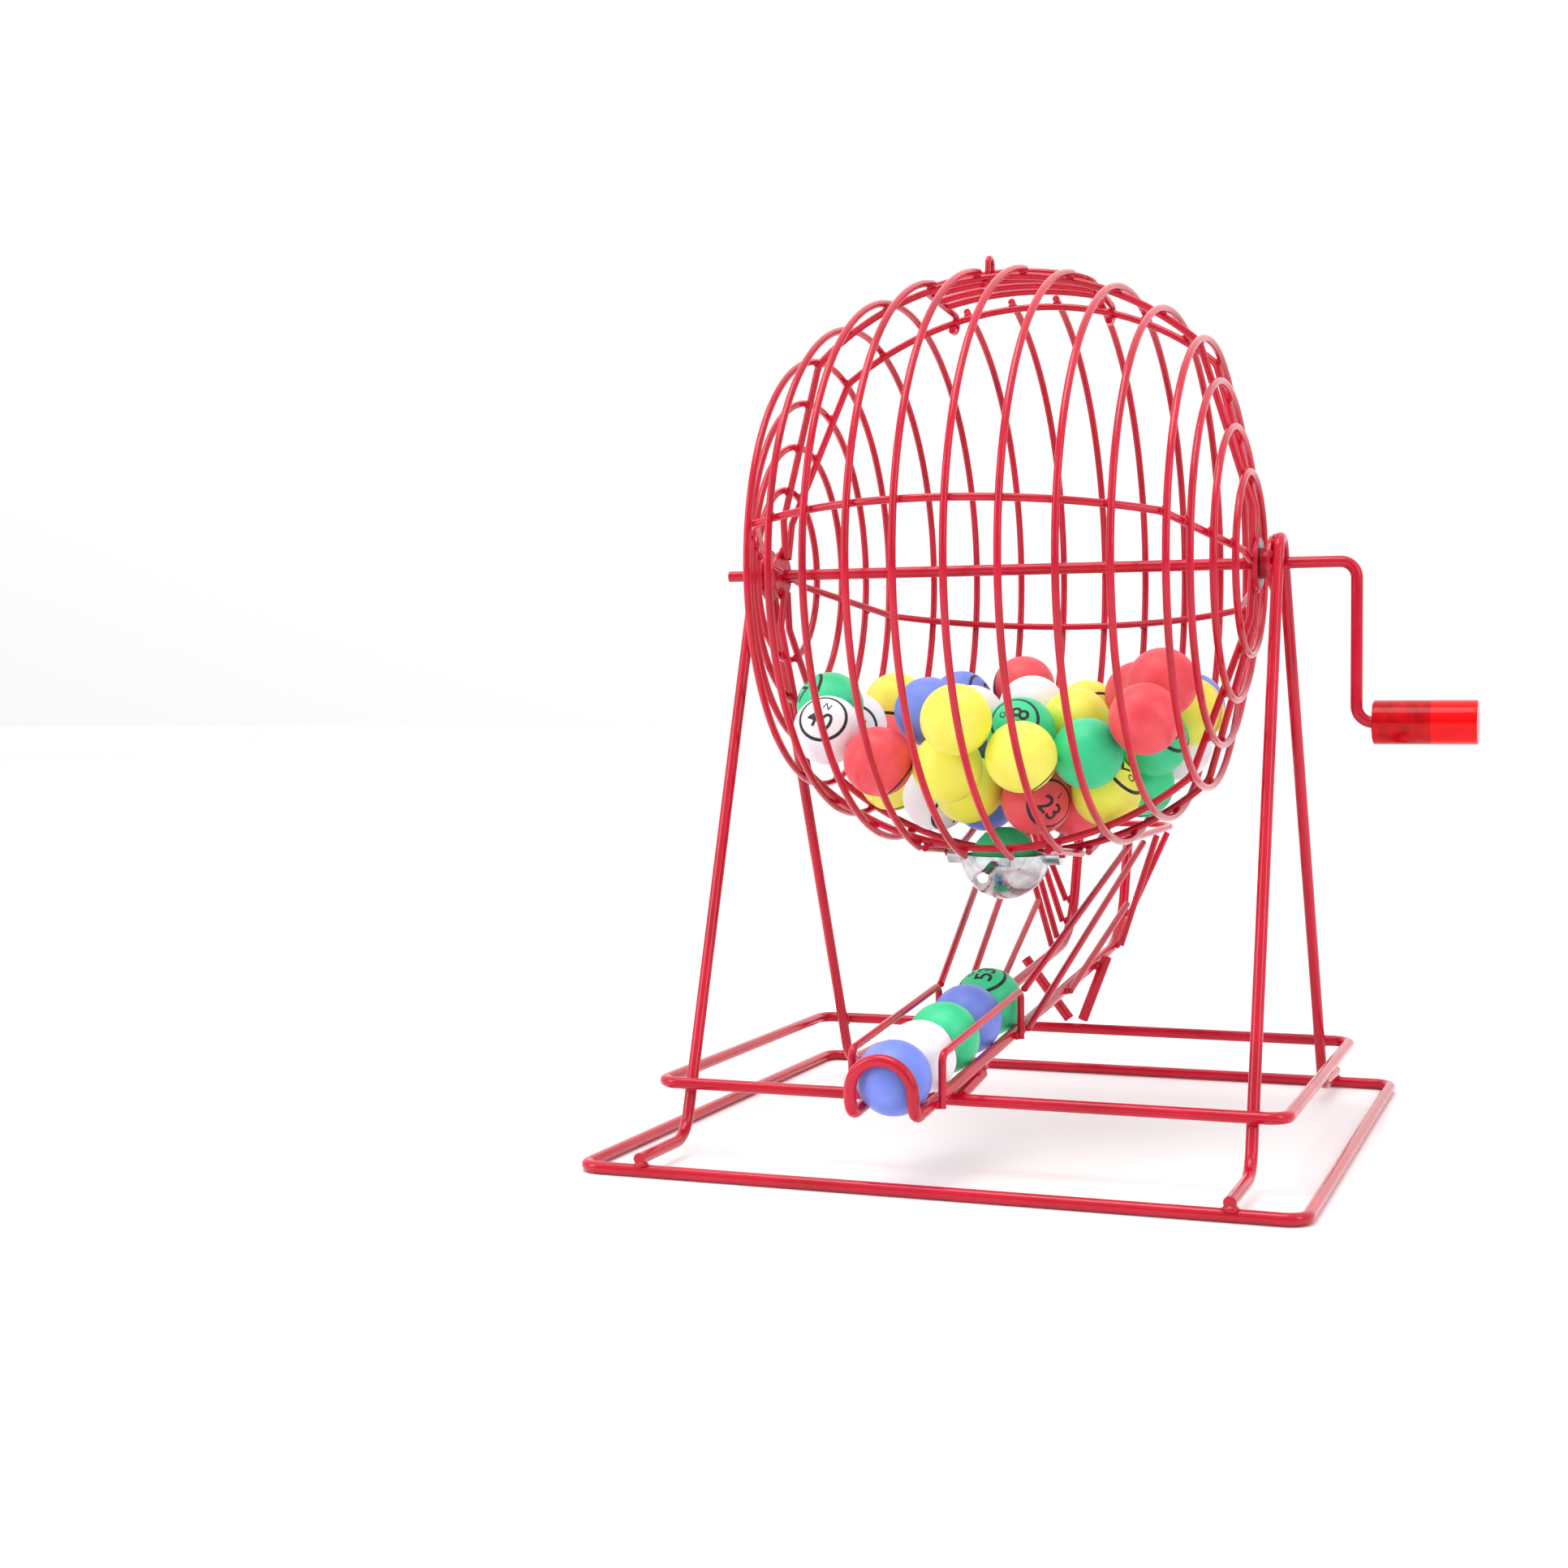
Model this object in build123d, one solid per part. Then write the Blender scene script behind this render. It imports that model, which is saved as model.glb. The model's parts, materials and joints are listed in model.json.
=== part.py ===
from build123d import *
import math
import os

import numpy as np

# Bingo cage: a welded wire stand, a crank-turned wire cage with a hatch and an exit cup,
# a ball track with its chute, and a set of hollow balls.
# Millimetres, +Z up, +X towards the crank, -Y towards the player.
# The origin is the middle of the base frame, on the table.

os.makedirs("parts", exist_ok=True)

# ---------------------------------------------------------------- wire stock
HEAVY = 6.35  # quarter-inch wire: stand, track, axle and crank
FINE = 4.0  # thin wire: cage, guard rails, chute, hatch
LATCH_WIRE = 3.2
TOUCH = 0.02  # gap left between wires that are welded side by side
RUNNING = 0.06  # radial clearance of a part that turns on another

# ---------------------------------------------------------------- stand
BASE_HALF_X, BASE_HALF_Y = 184.2, 191.2
TIER_HALF_X, TIER_HALF_Y, TIER_Z = 166.5, 129.9, 38.0
FRAME_CORNER = 10.0
FOOT_X = 150.0
FOOT_REACH = 194.0  # the feet run out over the base rails
FOOT_BEND = 18.0
HAIRPIN_R = 8.9  # centre line of the bend over the axle
LEG_APEX_Z = 329.0

# ---------------------------------------------------------------- cage and crank
CAGE_X = -6.0  # the legs lean, so the cage hangs this far off the base's middle
AXLE_Z = 315.5
AXLE_LEFT_X = -176.5
CRANK_X = 184.1
CRANK_DROP = 86.0
CRANK_BEND = 8.8
CRANK_PIN_X = 221.0
RIB_R = 161.5  # centre line of the ribs' round middle
RIB_BEND = 12.0
CONE_TILT = math.radians(16.7)  # the cage's ends are cones, this far off flat
CONE_OFFSET = 138.4  # distance of the cone's line from the cage's centre
HUB_R, HUB_T = 14.0, 2.5
HUB_FACE = 139.5  # outer face of each hub washer, from the cage's middle
RIB_END_R = 10.0
RIB_HUB_BEND = 8.0
FRONT_RIB, HATCH_FRONT, HATCH_BACK = 10.0, 82.5, 107.5  # degrees about the axle, front is 0
RIB_ANGLES = {
    "rib_front": FRONT_RIB,
    "rib_back": FRONT_RIB + 180,
    "rib_top_front": HATCH_FRONT,
    "rib_top_back": HATCH_BACK,
    "rib_bottom_back": HATCH_FRONT + 180,
    "rib_bottom_front": HATCH_BACK + 180,
}
RING_TURNS = (4.6, 13.95, 23.7, 33.3)  # degrees from the middle plane, on the round part
RING_CONE_RADII = (98.3, 73.8, 49.3)
CUT_RINGS = 2  # on each side of the middle, cut away at the hatch and at the exit
RING_OVERHANG = 4.0  # a cut ring runs on past its front rib
RING_NUB = 2.2  # and stops just past its back rib
LEANING_RINGS = 4  # on each side of the middle, turned about the upright through the cage's middle
RING_LEAN = -1.25

# ---------------------------------------------------------------- bearings and grip
BEARING_R, FLANGE_R, FLANGE_T = 8.5, 15.0, 1.8
FLANGE_FACE = 146.4
GRIP_R, GRIP_X0, GRIP_X1, GRIP_BORE_END = 11.8, 193.0, 246.6, 222.0

# ---------------------------------------------------------------- exit cup
CUP_R, CUP_WALL = 25.0, 2.3
EAR_R, EAR_END = 5.5, 32.2
HANGER_U = 34.6
CUP_DROP = 2.0  # the pivots sit this far below the hangers
CUP_PIVOT_R = 1.5
CUP_PIVOT_TIP = 25.6
STOP_R = 3.3
STOPS = {-1: (46.8, 12.0), 1: (40.0, 24.0)}  # front and back pin: reach and tilt

# ---------------------------------------------------------------- hatch
HOOK_U, HOOK_R = 46.5, 5.1
HATCH_CORNER_U, HATCH_CORNER_BEND = 47.5, 10.0
HATCH_FRONT_POS = 58.3  # front bar, measured forward from the hinge
HATCH_BAR_POS = (19.0, 32.0, 45.0)
HATCH_APEX = 10.0  # where the bowed bars' end directions meet, above the arms
FRONT_BAR_BEND, INNER_BAR_BEND = 168.0, 184.0
LATCH_U = -9.0
LATCH_W, LATCH_H = 8.4, 13.0
LATCH_REACH = 13.0

# ---------------------------------------------------------------- balls and track
BALL_R, BALL_WALL = 19.0, 0.7
TRACK_X, TRACK_Y, TRACK_SKEW = -19.0, -178.0, -2.5  # first ball's place; the track lies askew
TRACK_SLOPE = math.radians(7.0)
RAIL_HALF = 16.5
BALL_OVER_RAIL = math.sqrt((BALL_R + HEAVY / 2) ** 2 - RAIL_HALF**2)
RAIL_Z = 40.6  # rail's centre line under the first ball
STOP_S, HOOP_LEAN = -15.0, 2.6  # the hoop that stops the first ball leans forward
FIRST_BALL_S = 1.4  # where the first ball rests against it
HOOP_TOP = 28.5
HOOP_FOOT_BEND = 7.0
CHUTE_BEND_S, CHUTE_BEND = 376.0, 45.0
CHUTE_TOP_Z, CHUTE_LEAN = 156.0, math.radians(16.0)
GUARD_OUT = RAIL_HALF + HEAVY / 2 + FINE / 2 + TOUCH
GUARDS = {"left": (0.0, 131.0, 28.5), "right": (12.0, 143.0, 25.0)}  # first post, last post, lift
RIM_HALF, RIM_FRONT_S, RIM_BACK_S, RIM_Z = 46.0, 290.0, 405.0, 158.0
SECOND_WIRES = {"left": (163.0, 345.0), "right": (155.0, 337.0)}  # foot and top along the track
BRACKET_END_S = 90.0
BRACKET_FRONT_Y = -126.5
SUPPORT_FEET_X, SUPPORT_FOOT_GAP = 0.4, 4.2
TRACK_BALLS = ("blue", "white", "green", "blue", "green")

BODY = Pos(CAGE_X, 0, AXLE_Z)  # the cage's centre
TRACK = Pos(TRACK_X, TRACK_Y, 0) * Rot(Z=TRACK_SKEW)


# ================================================================ helpers
def wire_along(path, diameter):
    """A round wire whose centre line is path."""
    return sweep((path ^ 0) * Circle(diameter / 2), path)


def bent_wire(points, bends, diameter, closed=False):
    """A wire bent to straight runs with an arc at each corner."""
    return wire_along(FilletPolyline(*points, radius=bends, close=closed), diameter)


def rod(start, end, diameter):
    """A straight wire cut square at both ends."""
    return wire_along(Line(start, end), diameter)


def turned(angle):
    """Turns a shape drawn straight above the axle to its angle about the axle."""
    return BODY * Rot(X=90 - angle)


def about_axle(u, radius, angle):
    """Point at u along the axle from the cage's middle, at a radius and an angle."""
    a = math.radians(angle)
    return Vector(CAGE_X + u, -radius * math.cos(a), AXLE_Z + radius * math.sin(a))


def group(solids):
    """Separate solids that share one node."""
    return Compound(children=list(solids))


def save(name, shape):
    """Writes one node."""
    export_step(shape, f"parts/{name}.step")


# ================================================================ stand
def flat_frame(half_x, half_y, z):
    """A rounded rectangle of heavy wire."""
    corners = [(-half_x, -half_y, z), (half_x, -half_y, z), (half_x, half_y, z), (-half_x, half_y, z)]
    return bent_wire(corners, FRAME_CORNER, HEAVY, closed=True)


def leg(side):
    """One A-frame leg: foot, front run, hairpin over the axle, back run, foot."""
    foot_z = HEAVY * 1.5 + TOUCH
    arc_z = LEG_APEX_Z - HAIRPIN_R
    rise = arc_z - TIER_Z
    reach = math.hypot(TIER_HALF_Y, rise)
    slope = math.atan2(TIER_HALF_Y, rise) - math.asin((HAIRPIN_R + HEAVY + TOUCH) / reach)
    tip_z = arc_z + HAIRPIN_R / math.sin(slope)
    foot_y = (tip_z - foot_z) * math.tan(slope)
    points = [
        (0, -FOOT_REACH, 0),
        (0, -foot_y, 0),
        (0, 0, tip_z - foot_z),
        (0, foot_y, 0),
        (0, FOOT_REACH, 0),
    ]
    wire = bent_wire(points, [FOOT_BEND, HAIRPIN_R, FOOT_BEND], HEAVY)
    lean = math.degrees(math.atan2(CAGE_X, AXLE_Z - foot_z))
    return Pos(side * FOOT_X, 0, foot_z) * Rot(Y=lean) * wire


def bearing(side):
    """A flanged tube that the axle turns in, welded to the inner side of a leg."""
    inner = HUB_FACE + 0.3
    tube_length = FLANGE_FACE - inner
    tube = Cylinder(BEARING_R, tube_length, align=(Align.CENTER, Align.CENTER, Align.MAX))
    flange = Cylinder(FLANGE_R, FLANGE_T, align=(Align.CENTER, Align.CENTER, Align.MAX))
    bore = Cylinder(HEAVY / 2 + RUNNING, 4 * tube_length)
    turned_part = tube + flange - bore
    return BODY * Rot(Y=90 * side) * Pos(0, 0, FLANGE_FACE) * turned_part


# ================================================================ track and chute
def rail_z(s):
    """Height of the floor rails' straight part at s along the track."""
    return RAIL_Z + s * math.tan(TRACK_SLOPE)


def track_rails():
    """Both floor rails and the front hoop, bent from one heavy wire."""
    hoop_top = rail_z(STOP_S) + HOOP_TOP
    top_s = CHUTE_BEND_S + (CHUTE_TOP_Z - rail_z(CHUTE_BEND_S)) * math.tan(CHUTE_LEAN)
    left = [
        (-RAIL_HALF, top_s, CHUTE_TOP_Z),
        (-RAIL_HALF, CHUTE_BEND_S, rail_z(CHUTE_BEND_S)),
        (-RAIL_HALF, STOP_S, rail_z(STOP_S)),
        (-RAIL_HALF, STOP_S - HOOP_LEAN, hoop_top),
    ]
    right = [(-x, s, z) for x, s, z in reversed(left)]
    arch = RAIL_HALF - 0.05
    bends = [CHUTE_BEND, HOOP_FOOT_BEND, arch, arch, HOOP_FOOT_BEND, CHUTE_BEND]
    return TRACK * bent_wire(left + right, bends, HEAVY)


def guard_rail(side, name):
    """A staple of fine wire welded to the outer side of a floor rail."""
    first, last, lift = GUARDS[name]
    x = side * GUARD_OUT
    points = [
        (x, first, rail_z(first) - 2.0),
        (x, first, rail_z(first) + lift),
        (x, last, rail_z(last) + lift),
        (x, last, rail_z(last) - 2.0),
    ]
    return TRACK * bent_wire(points, 5.0, FINE)


def bracket(side):
    """A heavy wire from the tier's front rail back and up to the underside of a floor rail."""
    skew = math.radians(TRACK_SKEW)
    start_s = (BRACKET_FRONT_Y - TRACK_Y - side * RAIL_HALF * math.sin(skew)) / math.cos(skew)
    start = (side * RAIL_HALF, start_s, TIER_Z + 0.4)
    end_z = rail_z(BRACKET_END_S) - HEAVY / math.cos(TRACK_SLOPE) - 0.1
    return TRACK * rod(start, (side * RAIL_HALF, BRACKET_END_S, end_z), HEAVY)


def rear_support(side):
    """A slanted heavy wire from the tier's back rail to the outer side of a floor rail."""
    s = (TIER_HALF_Y - TRACK_Y) / math.cos(math.radians(TRACK_SKEW))
    rail = (TRACK * Pos(side * RAIL_HALF, s, rail_z(s))).position
    foot = Vector(SUPPORT_FEET_X + side * SUPPORT_FOOT_GAP, TIER_HALF_Y, TIER_Z + HEAVY / 2 + 2.6)
    to_rail = rail - foot
    distance = math.hypot(to_rail.X, to_rail.Z)
    gap = HEAVY / math.cos(TRACK_SLOPE) + 0.1
    heading = math.atan2(abs(to_rail.X), to_rail.Z) + math.asin(gap / distance)
    length = distance + 7.0
    tip = foot + Vector(side * length * math.sin(heading), 0, length * math.cos(heading))
    return rod(foot, tip, HEAVY)


def side_wires(side, name):
    """Three wires of one chute wall, rising backwards from the guard and floor rails."""
    _, guard_end, lift = GUARDS[name]
    second_s, second_top_s = SECOND_WIRES[name]
    first_foot = (GUARD_OUT + 0.6, guard_end + 4.4, rail_z(guard_end) + lift)
    runs = [
        (first_foot, (RIM_HALF - 2.5, RIM_FRONT_S + 4, RIM_Z - 4.1)),
        ((GUARD_OUT + 0.1, second_s, rail_z(second_s) + 0.5), (RIM_HALF - 5, second_top_s, RIM_Z - 5.6)),
        ((GUARD_OUT + 0.1, 240, rail_z(240) + 0.5), (GUARD_OUT + 7.4, 343, 113)),
    ]
    solids = []
    for (x0, s0, z0), (x1, s1, z1) in runs:
        solids.append(TRACK * rod((side * x0, s0, z0), (side * x1, s1, z1), FINE))
    return group(solids)


def chute_rim():
    """The chute's mouth: a U of fine wire, open towards the cage."""
    points = [
        (-RIM_HALF, RIM_FRONT_S, RIM_Z),
        (-RIM_HALF, RIM_BACK_S, RIM_Z + 2),
        (RIM_HALF, RIM_BACK_S, RIM_Z + 2),
        (RIM_HALF, RIM_FRONT_S, RIM_Z),
    ]
    return TRACK * bent_wire(points, 22.0, FINE)


def bend_point(turn):
    """Point on a floor rail's bend, turn degrees after the straight part ends."""
    swing = math.radians(90) - TRACK_SLOPE - CHUTE_LEAN
    tangent = CHUTE_BEND * math.tan(swing / 2)
    s0 = CHUTE_BEND_S - tangent * math.cos(TRACK_SLOPE)
    a = TRACK_SLOPE + math.radians(turn)
    s = s0 + CHUTE_BEND * (math.sin(a) - math.sin(TRACK_SLOPE))
    z = rail_z(s0) + CHUTE_BEND * (math.cos(TRACK_SLOPE) - math.cos(a))
    return s, z


def wall_ribs(side, turns):
    """Short wires from the floor rail's bend up and outwards to the rim."""
    solids = []
    for turn, rim_s in turns:
        s, z = bend_point(turn)
        start = (side * (GUARD_OUT + 0.1), s, z)
        end = (side * (RIM_HALF - 2.6), rim_s, RIM_Z - 2.4)
        solids.append(TRACK * rod(start, end, FINE))
    return group(solids)


# ================================================================ cage
def rib_outline():
    """Half of a rib's centre line, as (u, radius) points: hub end, hub corner, bend's two ends."""
    normal = (math.cos(CONE_TILT), math.sin(CONE_TILT))
    along = (-normal[1], normal[0])
    line = CONE_OFFSET - RIB_BEND
    step = math.sqrt((RIB_R - RIB_BEND) ** 2 - line**2)
    centre = (line * normal[0] + step * along[0], line * normal[1] + step * along[1])
    on_cone = (centre[0] + RIB_BEND * normal[0], centre[1] + RIB_BEND * normal[1])
    scale = RIB_R / (RIB_R - RIB_BEND)
    on_round = (centre[0] * scale, centre[1] * scale)
    turn = math.atan2(on_round[1] - centre[1], on_round[0] - centre[0]) + CONE_TILT
    middle = (math.cos(turn / 2), math.sin(turn / 2))
    hub_u = HUB_FACE - HUB_T - FINE / 2 - TOUCH
    hub_corner = (hub_u, (CONE_OFFSET - hub_u * normal[0]) / normal[1])
    return {
        "hub_end": (hub_u, RIB_END_R),
        "hub_corner": hub_corner,
        "on_cone": on_cone,
        "on_round": on_round,
        "bend_middle": (centre[0] + RIB_BEND * middle[0], centre[1] + RIB_BEND * middle[1]),
        "bend_normal": middle,
    }


OUTLINE = rib_outline()


def rib():
    """One rib, drawn straight above the axle about the origin."""

    def at(key, sign):
        u, radius = OUTLINE[key]
        return (sign * u, 0, radius)

    edges = []
    for sign in (-1, 1):
        edges += FilletPolyline(
            at("hub_end", sign), at("hub_corner", sign), at("on_cone", sign), radius=[RIB_HUB_BEND]
        ).edges()
        edges += ThreePointArc(at("on_cone", sign), at("bend_middle", sign), at("on_round", sign)).edges()
    edges += ThreePointArc(at("on_round", -1), (0, 0, RIB_R), at("on_round", 1)).edges()
    path = Wire(edges)
    return wire_along(path, FINE)


def ring_places():
    """(u, radius) of the eight rings on the +X side, from the middle outwards."""
    step = FINE + TOUCH
    places = []
    for turn in RING_TURNS:
        a = math.radians(turn)
        places.append(((RIB_R + step) * math.sin(a), (RIB_R + step) * math.cos(a)))
    middle, normal = OUTLINE["bend_middle"], OUTLINE["bend_normal"]
    places.append((middle[0] + step * normal[0], middle[1] + step * normal[1]))
    for radius in RING_CONE_RADII:
        u = (CONE_OFFSET + step - radius * math.sin(CONE_TILT)) / math.cos(CONE_TILT)
        places.append((u, radius))
    return places


def ring(u, radius, lean):
    """A whole ring."""
    return BODY * Rot(Z=lean) * Pos(u, 0, 0) * Rot(Y=90) * Torus(radius, FINE / 2)


def ring_arc(u, radius, lean, first, last):
    """Part of a ring, from one angle about the axle to another."""
    path = Plane.YZ.offset(u) * CenterArc((0, 0), radius, 180 - last, last - first)
    return BODY * Rot(Z=lean) * wire_along(path, FINE)


def cut_ring(u, radius, lean):
    """A ring with a gap at the hatch and at the exit: a front arc and a back arc."""
    over = math.degrees(RING_OVERHANG / radius)
    nub = math.degrees(RING_NUB / radius)
    front = ring_arc(u, radius, lean, HATCH_BACK - 180 - over, HATCH_FRONT + over)
    back = ring_arc(u, radius, lean, HATCH_BACK - nub, HATCH_FRONT + 180 + nub)
    return group([front, back])


def hub(side):
    """A steel washer on the axle that the rib ends are welded to."""
    disc = Cylinder(HUB_R, HUB_T, align=(Align.CENTER, Align.CENTER, Align.MAX))
    disc = chamfer(disc.edges(), 0.4) - Cylinder(HEAVY / 2 + TOUCH, 4 * HUB_T)
    return BODY * Rot(Y=90 * side) * Pos(0, 0, HUB_FACE) * disc


def axle_crank():
    """Axle, crank arm and crank pin, bent from one heavy wire."""
    pin_z = AXLE_Z - CRANK_DROP
    points = [(AXLE_LEFT_X, 0, AXLE_Z), (CRANK_X, 0, AXLE_Z), (CRANK_X, 0, pin_z), (CRANK_PIN_X, 0, pin_z)]
    return bent_wire(points, CRANK_BEND, HEAVY)


def grip():
    """The round grip on the crank pin, bored from its inner end."""
    pin_z = AXLE_Z - CRANK_DROP
    length = GRIP_X1 - GRIP_X0
    body = Cylinder(GRIP_R, length, align=(Align.CENTER, Align.CENTER, Align.MIN))
    body = chamfer(body.edges(), 0.6)
    depth = GRIP_BORE_END - GRIP_X0
    bore = Cylinder(HEAVY / 2 + RUNNING, depth, align=(Align.CENTER, Align.CENTER, Align.MIN))
    return Pos(GRIP_X0, 0, pin_z) * Rot(Y=90) * (body - bore)


# ================================================================ exit cup
EXIT_ANGLE = (HATCH_FRONT + HATCH_BACK) / 2 + 180
EXIT_HALF = (HATCH_BACK - HATCH_FRONT) / 2
HANGER_R = math.sqrt((RIB_R + FINE + 0.08) ** 2 - HANGER_U**2)
CUP_AXIS_R = HANGER_R * math.cos(math.radians(EXIT_HALF))
CUP_AXIS = about_axle(0, CUP_AXIS_R, EXIT_ANGLE) - Vector(0, 0, CUP_DROP)


def cup_hanger(side):
    """A wire across both bottom ribs, with the pivot pin that one ear of the cup swings on."""
    front = about_axle(side * HANGER_U, HANGER_R, EXIT_ANGLE + EXIT_HALF)
    back = about_axle(side * HANGER_U, HANGER_R, EXIT_ANGLE - EXIT_HALF)
    beyond = (front - back).normalized() * 4.0
    wire = rod(back - beyond, front + beyond, FINE)
    pin_root = CUP_AXIS + Vector(side * HANGER_U, 0, 0)
    pin_tip = CUP_AXIS + Vector(side * CUP_PIVOT_TIP, 0, 0)
    return wire + rod(pin_root, pin_tip, 2 * CUP_PIVOT_R)


def cup_ear(side):
    """One ear of the cup, with a blind bore for the pivot pin."""
    root = CUP_R - CUP_WALL
    ear = Cylinder(EAR_R, EAR_END - root, align=(Align.CENTER, Align.CENTER, Align.MIN))
    bore_start = CUP_PIVOT_TIP - root - 0.4
    bore = Cylinder(CUP_PIVOT_R + RUNNING, 2 * EAR_END, align=(Align.CENTER, Align.CENTER, Align.MIN))
    return Rot(Y=90 * side) * Pos(0, 0, root) * (ear - Pos(0, 0, bore_start) * bore)


def exit_cup():
    """A metal half ball with two ears and a front tab."""
    keep = Box(4 * CUP_R, 4 * CUP_R, 2 * CUP_R, align=(Align.CENTER, Align.CENTER, Align.MAX))
    bowl = Sphere(CUP_R) & keep
    tab = Pos(6.6, 0.4 - CUP_R, -2.6) * Box(5.4, 3, 5)
    hollow = Sphere(CUP_R - CUP_WALL)
    shape = bowl + tab - hollow
    for side in (-1, 1):
        shape += cup_ear(side) - hollow
    return Pos(*CUP_AXIS) * shape


def cup_stops():
    """Steel pins on the cup's front and back walls that meet the bottom ribs when the cup tips."""
    pins = []
    for side, (reach, tilt) in STOPS.items():
        a = math.radians(tilt)
        direction = Vector(0, side * math.cos(a), -math.sin(a))
        pin = chamfer(rod(direction * (CUP_R - CUP_WALL), direction * reach, 2 * STOP_R).edges(), 0.35)
        pins.append(Pos(*CUP_AXIS) * (pin - Sphere(CUP_R + TOUCH)))
    return group(pins)


# ================================================================ hatch
HINGE_R = math.sqrt(RIB_R**2 - HOOK_U**2)
HINGE = about_axle(0, HINGE_R, HATCH_BACK)
# forward along the hatch from the hinge, and outwards from the cage
FORWARD = (about_axle(0, HINGE_R, HATCH_FRONT) - HINGE).normalized()
OUTWARD = Vector(1, 0, 0).cross(FORWARD) * -1


def on_hatch(u, pos, height):
    """Point on the hatch: u along the hinge, pos forward of it, height above its plane."""
    return HINGE + Vector(u, 0, 0) + FORWARD * pos + OUTWARD * height


def hatch_frame():
    """Hooks round the back rib, two arms and the bowed front bar, bent from one fine wire."""
    left = [
        on_hatch(-HOOK_U, 4.0, -HOOK_R),
        on_hatch(-HOOK_U, -HOOK_R, -HOOK_R),
        on_hatch(-HOOK_U, -HOOK_R, HOOK_R),
        on_hatch(-HATCH_CORNER_U, HATCH_FRONT_POS, HOOK_R),
    ]
    right = [
        on_hatch(HATCH_CORNER_U, HATCH_FRONT_POS, HOOK_R),
        on_hatch(HOOK_U, -HOOK_R, HOOK_R),
        on_hatch(HOOK_U, -HOOK_R, -HOOK_R),
        on_hatch(HOOK_U, 4.0, -HOOK_R),
    ]
    top = on_hatch(0, HATCH_FRONT_POS, HOOK_R + HATCH_APEX)
    hook = HOOK_R - 0.1
    bends = [hook, hook, HATCH_CORNER_BEND, FRONT_BAR_BEND, HATCH_CORNER_BEND, hook, hook]
    return bent_wire(left + [top] + right, bends, FINE)


def arm_u(pos):
    """Where the arm's centre line is, pos forward of the hinge."""
    share = (pos + HOOK_R) / (HATCH_FRONT_POS + HOOK_R)
    return HOOK_U + (HATCH_CORNER_U - HOOK_U) * share


def hatch_bars():
    """The bowed bars between the arms."""
    solids = []
    for pos in HATCH_BAR_POS:
        end_u = arm_u(pos) - FINE / 2 - 0.35
        points = [
            on_hatch(-end_u, pos, HOOK_R),
            on_hatch(0, pos, HOOK_R + HATCH_APEX),
            on_hatch(end_u, pos, HOOK_R),
        ]
        solids.append(bent_wire(points, [INNER_BAR_BEND], FINE))
    return group(solids)


# the front bar's arc, and how high it stands over the arms where the latch hangs on it
ARC_CENTRE = HATCH_APEX - FRONT_BAR_BEND / math.cos(math.atan(HATCH_APEX / HATCH_CORNER_U))
LATCH_BOW = ARC_CENTRE + math.sqrt(FRONT_BAR_BEND**2 - LATCH_U**2)
LATCH_PIVOT = on_hatch(LATCH_U, HATCH_FRONT_POS, HOOK_R + LATCH_BOW)
LATCH_LOW = -FINE / 2 - LATCH_WIRE / 2 - 0.6
LATCH_DEPTH = LATCH_LOW - 4.9


def hatch_latch():
    """A finger loop round the front bar, with a hook that catches under the front rib."""
    low = LATCH_LOW
    high = low + LATCH_H

    def at(pos, height):
        return LATCH_PIVOT + FORWARD * pos + OUTWARD * height

    half = LATCH_W / 2
    corners = [at(-half, low), at(half, low), at(half, high), at(-half, high)]
    loop = bent_wire(corners, half - 0.1, LATCH_WIRE, closed=True)
    hook = bent_wire([at(0, low), at(0, LATCH_DEPTH), at(LATCH_REACH, LATCH_DEPTH)], [2.5], LATCH_WIRE)
    return loop + hook


# ================================================================ balls
def ball(centre):
    """A hollow ball."""
    return Pos(*centre) * (Sphere(BALL_R) - Sphere(BALL_R - BALL_WALL))


def track_ball_centres():
    """The row of balls on the rails, the first against the hoop."""
    centres = []
    for index in range(len(TRACK_BALLS)):
        s = FIRST_BALL_S + index * (2 * BALL_R + TOUCH) * math.cos(TRACK_SLOPE)
        z = rail_z(s) + (BALL_OVER_RAIL + 0.03) / math.cos(TRACK_SLOPE)
        centres.append((TRACK * Pos(0, s, z)).position)
    return centres


# Balls at the front of the pile: place from the cage's middle, and colour.
FRONT_BALLS = [
    (-86, -62, -91, "white"),
    (-100, -25, -78, "green"),
    (-55, -71, -107, "red"),
    (-60, -24, -122, "yellow"),
    (-28, -60, -82, "blue"),
    (-6, -90, -88, "yellow"),
    (-10, -75, -117, "yellow"),
    (-32, -35, -131, "white"),
    (-6, -45, -137, "yellow"),
    (22, -32, -134, "red"),
    (45, -25, -130, "red"),
    (29, -89, -103, "yellow"),
    (23, -60, -90, "green"),
    (34, -50, -78, "white"),
    (57, -60, -84, "yellow"),
    (64, -73, -101, "green"),
    (60, -29, -123, "yellow"),
    (84, -50, -85, "red"),
    (98, -50, -66, "red"),
    (94, -41, -95, "green"),
    (86, -20, -125, "green"),
    (112, -7, -83, "yellow"),
    (114, -5, -105, "white"),
]
CAGE_BALL_COUNTS = {"blue": 8, "red": 10, "white": 10, "green": 9, "yellow": 12}
SEED = 75
BALL_GAP = 0.12
HOLD = 0.3  # how firmly the front balls keep their places while the others drop
SLIDE = np.array([-0.354, 0.935, -0.04])  # the way the front balls may slide back into the pile
PRESS = 0.03  # and how hard they are pressed forwards
FAST_FALL, SLOW_FALL, JITTER = 0.25, 0.1, 0.5
DROP_STEPS, SETTLE_STEPS = 2500, 1200
FAST_STEPS, SHAKEN_STEPS = 1500, 1250


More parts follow.
